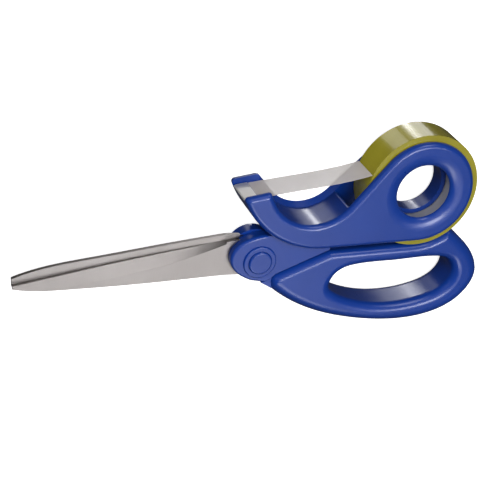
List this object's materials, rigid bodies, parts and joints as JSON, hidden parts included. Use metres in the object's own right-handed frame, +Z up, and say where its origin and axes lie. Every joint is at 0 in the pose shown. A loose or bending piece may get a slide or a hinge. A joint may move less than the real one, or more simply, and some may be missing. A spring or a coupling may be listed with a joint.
{
  "type": "tape dispenser scissors",
  "caption": "Household scissors whose upper handle is a ring-shaped dispenser for a small roll of clear tape, with a trough and a toothed cutter on its nose.",
  "frame": {"origin": "centre of the footprint on the surface that the object lies on, with its far side down", "axes": "+X from the blade tips to the handles, +Y from the lower handle to the dispenser, +Z up through the pivot, towards the near side"},
  "size_m": [0.1782, 0.0772, 0.0178],
  "materials": {
    "blue_plastic": "glossy moulded plastic, royal blue",
    "blade_steel": "satin stamped stainless steel with a ground bevel",
    "cutter_steel": "bright stamped steel",
    "fastener_steel": "plated steel",
    "core_plastic": "white moulded core",
    "tape_wound": "clear film wound into a yellow-olive roll",
    "tape_film": "single layer of clear film"
  },
  "bodies": {
    "dispenser_half": {"dispenser_body": "blue_plastic", "far_cover": "blue_plastic", "cover_screws": "fastener_steel", "roll_spindle": "blue_plastic", "tape_strip": "tape_film", "tape_cutter": "cutter_steel", "cutter_pins": "cutter_steel", "front_blade": "blade_steel", "pivot_screw": "fastener_steel", "pivot_nut": "fastener_steel", "spring_washer": "fastener_steel", "pivot_cap": "blue_plastic"},
    "lower_half": {"lower_handle": "blue_plastic", "rear_blade": "blade_steel", "nut_cap": "blue_plastic"},
    "tape": {"tape_core": "core_plastic", "tape_roll": "tape_wound"}
  },
  "joints": [
    {"name": "scissor_pivot", "type": "hinge", "parent": "dispenser_half", "child": "lower_half", "pos_m": [-0.00011, -0.00804, 0.0089], "axis": [0, 0, -1], "range_deg": [0, 40]},
    {"name": "roll_spin", "type": "hinge", "parent": "dispenser_half", "child": "tape", "pos_m": [0.06039, 0.01656, 0.0089], "axis": [0, 0, 1], "continuous": true}
  ]
}
